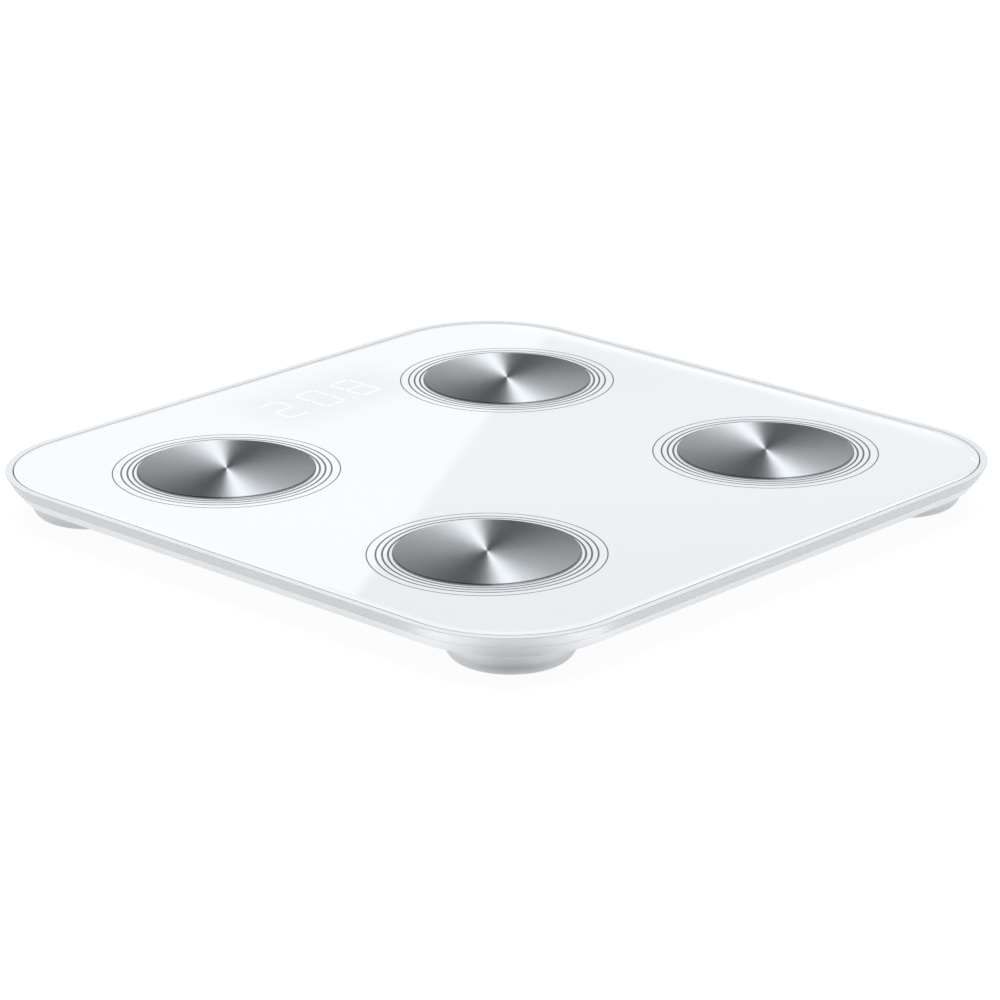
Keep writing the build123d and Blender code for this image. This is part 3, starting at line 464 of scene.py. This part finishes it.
def add_piece(name, shape, finish):
    """Turns a bmesh into a piece that rides on the scale's body."""
    mesh = bpy.data.meshes.new(name)
    bmesh.ops.recalc_face_normals(shape, faces=shape.faces)
    shape.to_mesh(mesh)
    shape.free()
    mesh.materials.append(finish.material)
    piece = bpy.data.objects.new(name, mesh)
    scene.collection.objects.link(piece)
    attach(piece, "scale_body")


def circle(centre, radius, steps):
    """Points round a circle."""
    turns = [2 * math.pi * step / steps for step in range(steps)]
    return [Vector((centre.x + radius * math.cos(turn), centre.y + radius * math.sin(turn)))
            for turn in turns]


def add_loop(shape, outline, height):
    """Adds the points of an outline at one height."""
    return [shape.verts.new((point.x, point.y, height)) for point in outline]


def add_walls(shape, first, second):
    """Adds the faces between two loops with as many points."""
    for i in range(len(first)):
        j = (i + 1) % len(first)
        shape.faces.new((first[i], first[j], second[j], second[i]))


def add_film(shape, outline):
    """Adds a thin closed plate with that outline on the glass."""
    bottom = add_loop(shape, outline, glass_top)
    top = add_loop(shape, outline, glass_top + print_thickness)
    shape.faces.new(top)
    shape.faces.new(list(reversed(bottom)))
    add_walls(shape, bottom, top)


def add_ring(shape, centre, radius, width):
    """Adds a thin flat ring of that middle radius on the glass."""
    inner = circle(centre, radius - width / 2, ring_steps)
    outer = circle(centre, radius + width / 2, ring_steps)
    high = glass_top + print_thickness
    loops = [add_loop(shape, outline, height)
             for outline, height in ((inner, glass_top), (outer, glass_top), (outer, high), (inner, high))]
    for first, second in zip(loops, loops[1:] + loops[:1]):
        add_walls(shape, first, second)


# Each numeral's lit strokes: top, upper right, lower right, bottom, lower left, upper left, middle
strokes_of = {
    "2": (0, 1, 6, 4, 3),
    "0": (0, 1, 2, 3, 4, 5),
    "8": (0, 1, 2, 3, 4, 5, 6),
}


def stroke_outline(start, end):
    """A lit stroke between two points, with pointed ends."""
    along = (end - start).normalized()
    across = Vector((-along.y, along.x)) * digit_stroke / 2
    start = start + along * segment_gap
    end = end - along * segment_gap
    tip = along * digit_stroke / 2
    return [start, start + tip - across, end - tip - across, end, end - tip + across, start + tip + across]


def add_numeral(shape, text, centre):
    """Adds the lit strokes of one numeral about its centre."""
    half_x = (digit_width - digit_stroke) / 2
    half_y = (digit_height - digit_stroke) / 2
    left, right = centre.x - half_x, centre.x + half_x
    low, middle, high = centre.y - half_y, centre.y, centre.y + half_y
    ends = [
        ((left, high), (right, high)),
        ((right, high), (right, middle)),
        ((right, middle), (right, low)),
        ((right, low), (left, low)),
        ((left, low), (left, middle)),
        ((left, middle), (left, high)),
        ((left, middle), (right, middle)),
    ]
    for index in strokes_of[text]:
        start, end = ends[index]
        add_film(shape, stroke_outline(Vector(start), Vector(end)))


rings = bmesh.new()
for electrode in electrode_names:
    low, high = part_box(electrode)
    for radius, width in zip(ring_radii, ring_widths):
        add_ring(rings, (low + high) / 2, radius, width)
add_piece("electrode_rings", rings, ring_ink("ring_ink"))

numerals = bmesh.new()
for text, offset in zip(digit_texts, digit_offsets):
    add_numeral(numerals, text, Vector((offset, display_centre.y)))
point_centre = Vector((point_offset, display_centre.y - digit_height / 2 + point_radius))
add_film(numerals, circle(point_centre, point_radius, point_steps))
for offset, rise, length in mark_bars:
    start = Vector((offset - length / 2, display_centre.y + rise))
    end = start + Vector((length, mark_height))
    add_film(numerals, [start, Vector((end.x, start.y)), end, Vector((start.x, end.y))])
add_piece("lit_numerals", numerals, lit_white("lit_white"))


# Camera

facing = Vector((math.sin(camera_azimuth) * math.cos(camera_elevation),
                 -math.cos(camera_azimuth) * math.cos(camera_elevation),
                 math.sin(camera_elevation)))
level_right = Vector((math.cos(camera_azimuth), math.sin(camera_azimuth), 0.0))
level_up = facing.cross(level_right)
right = level_right * math.cos(camera_roll) + level_up * math.sin(camera_roll)
up = facing.cross(right)
camera_data = bpy.data.cameras.new("camera")
camera_data.sensor_width = sensor_width
camera_data.lens = camera_lens
camera = bpy.data.objects.new("camera", camera_data)
scene.collection.objects.link(camera)
camera.matrix_world = Matrix((
    (right.x, up.x, facing.x, camera_place.x),
    (right.y, up.y, facing.y, camera_place.y),
    (right.z, up.z, facing.z, camera_place.z),
    (0.0, 0.0, 0.0, 1.0),
))
scene.camera = camera


# Studio

class Glow(Nodes):
    """A glowing node material of the studio."""

    def __init__(self, name):
        self.material = bpy.data.materials.new(name)
        self.material.use_nodes = True
        self.material.cycles.emission_sampling = "NONE"
        super().__init__(self.material.node_tree)
        self.tree.nodes.remove(self.tree.nodes["Principled BSDF"])
        self.surface = self.tree.nodes["Material Output"].inputs["Surface"]
        self.place = self.node("ShaderNodeTexCoord").outputs["Object"]
        emission = self.node("ShaderNodeEmission")
        self.light = emission.outputs[0]
        self.strength = emission.inputs["Strength"]

    def clear(self):
        return self.node("ShaderNodeBsdfTransparent").outputs[0]

    def sum_of(self, first, second):
        return self.node("ShaderNodeAddShader", first, second).outputs[0]

    def levels(self, angle, stops):
        """A level that follows an angle in radians through a list of angles in degrees and levels."""
        ramp = self.node("ShaderNodeValToRGB", self.math("DIVIDE", angle, math.pi))
        highest = max(value for degrees, value in stops)
        marks = ramp.color_ramp.elements
        while len(marks) < len(stops):
            marks.new(1.0)
        for mark, (degrees, value) in zip(marks, stops):
            mark.position = degrees / 180.0
            mark.color = (value / highest, value / highest, value / highest, 1.0)
        return self.math("MULTIPLY", ramp.outputs["Color"], highest)


def add_stage(name, shape, material):
    """Turns a bmesh into a piece of the studio."""
    mesh = bpy.data.meshes.new(name)
    shape.to_mesh(mesh)
    shape.free()
    mesh.materials.append(material)
    made = bpy.data.objects.new(name, mesh)
    scene.collection.objects.link(made)
    return made


world = bpy.data.worlds.new("studio")
world.use_nodes = True
world.cycles.sampling_method = "NONE"
scene.world = world
air = Nodes(world.node_tree)
background = air.tree.nodes["Background"]
background.inputs["Color"].default_value = (1.0, 1.0, 1.0, 1.0)
air.feed(background.inputs["Strength"], air.span(air.seen_by_eye(), 0.0, 1.0, ambient_level, 1.0))


def table_top():
    """A white table lit from below.

    To the eye it is white with a light shadow. It lights the scale's sides, less from under the scale, with
    one dim and two bright places about the nearest corner. From below it is clear, so that the underside
    shows.
    """
    made = Glow("floor")
    corner_middle = cad_box[1].x - corner_radius
    ways = made.node("ShaderNodeSeparateXYZ", made.place).outputs
    past = []
    for axis in ("X", "Y"):
        beyond = made.math("SUBTRACT", made.math("ABSOLUTE", ways[axis]), corner_middle)
        past.append(made.math("MAXIMUM", beyond, 0.0))
    in_open = made.ease(made.length(*past), corner_radius - floor_under_fade, corner_radius)

    corner_out = Vector((-1.0, -1.0, 0.0)).normalized()
    corner_side = Vector((1.0, -1.0, 0.0)).normalized()
    out_by = made.math("SUBTRACT", made.dot(made.place, corner_out), corner_middle * math.sqrt(2.0))
    side_by = made.dot(made.place, corner_side)
    turn = made.math("ABSOLUTE", made.math("ARCTAN2", side_by, out_by))
    reach = made.length(out_by, side_by)

    def corner_light(stops, inner, inner_fade, outer):
        """A level that follows the angle inside a ring about the corner's centre, and one outside it."""
        past_inner = made.ease(reach, inner, inner + inner_fade)
        within_outer = made.ease(reach, outer, outer + corner_fade, 1.0, 0.0)
        return made.choose(made.math("MULTIPLY", past_inner, within_outer), 1.0, made.levels(turn, stops))

    lit_corner = corner_light(corner_levels, corner_inner, corner_inner_fade, corner_outer)
    lighting = made.math("MULTIPLY", lit_corner, made.choose(in_open, floor_glow_under, floor_glow))
    mirrored_corner = corner_light(corner_mirror_levels, corner_mirror_inner, corner_mirror_inner_fade,
                                   corner_mirror_outer)
    mirroring = made.math("MULTIPLY", mirrored_corner, floor_seen_glow)
    path = made.node("ShaderNodeLightPath").outputs
    level = made.choose(path["Is Glossy Ray"], lighting, mirroring)
    straight_on = made.math("MAXIMUM", path["Is Camera Ray"], path["Is Transmission Ray"])
    made.feed(made.strength, made.choose(straight_on, level, floor_seen_glow))

    bounce = made.math("MULTIPLY", made.seen_by_eye(), floor_seen_bounce)
    card = made.node("ShaderNodeBsdfDiffuse", bounce).outputs[0]
    from_below = made.node("ShaderNodeNewGeometry").outputs["Backfacing"]
    one_sided = made.node("ShaderNodeMixShader", from_below, made.sum_of(card, made.light), made.clear())
    made.feed(made.surface, one_sided.outputs[0])
    return made.material


plane = bmesh.new()
signs = ((-1, -1), (1, -1), (1, 1), (-1, 1))
plane.faces.new([plane.verts.new((x * floor_half, y * floor_half, 0.0)) for x, y in signs])
add_stage("floor", plane, table_top())

lamp_data = bpy.data.lights.new("overhead", "AREA")
lamp_data.shape = "SQUARE"
lamp_data.size = lamp_side
lamp_data.energy = lamp_power
lamp = bpy.data.objects.new("overhead", lamp_data)
lamp.location = (0.0, 0.0, lamp_height)
lamp.visible_glossy = False
scene.collection.objects.link(lamp)


# Skies that only mirrors see

class Sky(Glow):
    """A glow that depends on the direction from the dome's middle."""

    def __init__(self, name):
        super().__init__(name)
        self.direction = self.vector("NORMALIZE", self.place)

    def toward(self, vector):
        return self.dot(self.direction, vector)

    def show(self, level, see_through):
        """Puts the level on the dome, over the domes behind it where it is seen through."""
        self.feed(self.strength, level)
        self.feed(self.surface, self.sum_of(self.light, self.clear()) if see_through else self.light)
        return self.material


def add_dome(name, radius, material):
    """A half sphere that only mirrors see."""
    shape = bmesh.new()
    bmesh.ops.create_uvsphere(shape, u_segments=2 * dome_rings, v_segments=dome_rings, radius=radius)
    below = [v for v in shape.verts if v.co.z < -dome_skirt * radius]
    bmesh.ops.delete(shape, geom=below, context="VERTS")
    dome = add_stage(name, shape, material)
    for flag in ("visible_camera", "visible_diffuse", "visible_transmission", "visible_volume_scatter",
                 "visible_shadow"):
        setattr(dome, flag, False)
    return dome


def mirrored(point):
    """Where the sky dome shows in the glass at a point of it, seen from the camera."""
    spot = Vector((point.x, point.y, glass_top))
    ray = (spot - camera_place).normalized()
    ray.z = -ray.z
    return spot + ray * dome_radius


def glass_sky():
    """Sky for the glass and the plastic."""
    made = Sky("glass_sky")
    behind = Vector((-facing.x, -facing.y, 0.0)).normalized()
    sideways = Vector((behind.y, -behind.x, 0.0))
    height = made.toward(Vector((0.0, 0.0, 1.0)))

    def by_height(start, full, low=0.0, high=1.0):
        return made.ease(height, math.sin(start), math.sin(full), low, high)

    def beyond_line(start, end, outside):
        """One where the sky shows beyond a line drawn on the glass, and zero on the line's other side."""
        normal = mirrored(start).cross(mirrored(end)).normalized()
        if mirrored(outside).dot(normal) < 0:
            normal = -normal
        return made.ease(made.toward(normal), -edge_blur, edge_blur)

    dim = by_height(dim_sky_start, dim_sky_full, low_sky_dim, low_sky_dimmest)
    bright_side = beyond_line(*edge_on_glass, Vector((-glass_half, glass_half)))
    low_sky = made.choose(bright_side, dim, low_sky_bright)

    past_lines = [beyond_line(Vector((x, -glass_half)), Vector((x, glass_half)), Vector((2 * x, 0.0)))
                  for x in (glass_half - band_inset, glass_half + band_outset)]
    in_view = made.ease(made.toward(behind), band_view_start, band_view_full)
    band = made.math("MULTIPLY", in_view, made.math("SUBTRACT", *past_lines))
    low_sky = made.choose(band, low_sky, band_level)

    off_middle = made.math("ABSOLUTE", made.toward(sideways))
    high_sky = made.ease(off_middle, middle_sky_half, middle_sky_half + middle_sky_fade, high_sky_middle,
                         high_sky_bright)
    sky = made.choose(by_height(high_sky_start, high_sky_full), low_sky, high_sky)
    ends = made.math("MULTIPLY", by_height(top_sky_start, top_sky_full, 1.0, 0.0),
                     by_height(horizon_full, horizon_start, horizon_share, 1.0))
    return made.show(made.math("MULTIPLY", ends, sky), see_through=True)


def wheel_sky(name, hub, see_through):
    """A sky whose light changes only with the angle about one point of it, the hub."""
    made = Sky(name)
    ahead = Vector((math.cos(wheel_azimuth), math.sin(wheel_azimuth), 0.0))
    across = Vector((ahead.y, -ahead.x, 0.0))
    short = made.math("SUBTRACT", hub.dot(ahead), made.toward(ahead))
    aside = made.math("SUBTRACT", made.toward(across), hub.dot(across))
    turn = made.math("WRAP", made.math("ARCTAN2", aside, short), math.pi, 0.0)
    return made.show(made.levels(turn, wheel_levels), see_through)


glass_dome = add_dome("glass_dome", dome_radius, glass_sky())

# Each disc mirrors a dome of its own and nothing of the glass's dome
steel_pieces = bpy.data.collections.new("lit_by_own_dome")
for order, electrode in enumerate(electrode_names, start=1):
    low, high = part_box(electrode)
    gaze = ((low + high) / 2 - camera_place).normalized()
    hub = Vector((gaze.x, gaze.y, -gaze.z))
    sky = wheel_sky("steel_sky_" + electrode, hub, see_through=order < len(electrode_names))
    dome = add_dome("steel_dome_" + electrode, dome_radius + order * dome_spacing, sky)
    own = bpy.data.collections.new("lit_by_" + electrode)
    own.objects.link(nodes[electrode])
    dome.light_linking.receiver_collection = own
    steel_pieces.objects.link(nodes[electrode])
for item in steel_pieces.collection_objects:
    item.light_linking.link_state = "EXCLUDE"
glass_dome.light_linking.receiver_collection = steel_pieces

scene.view_settings.view_transform = "Standard"
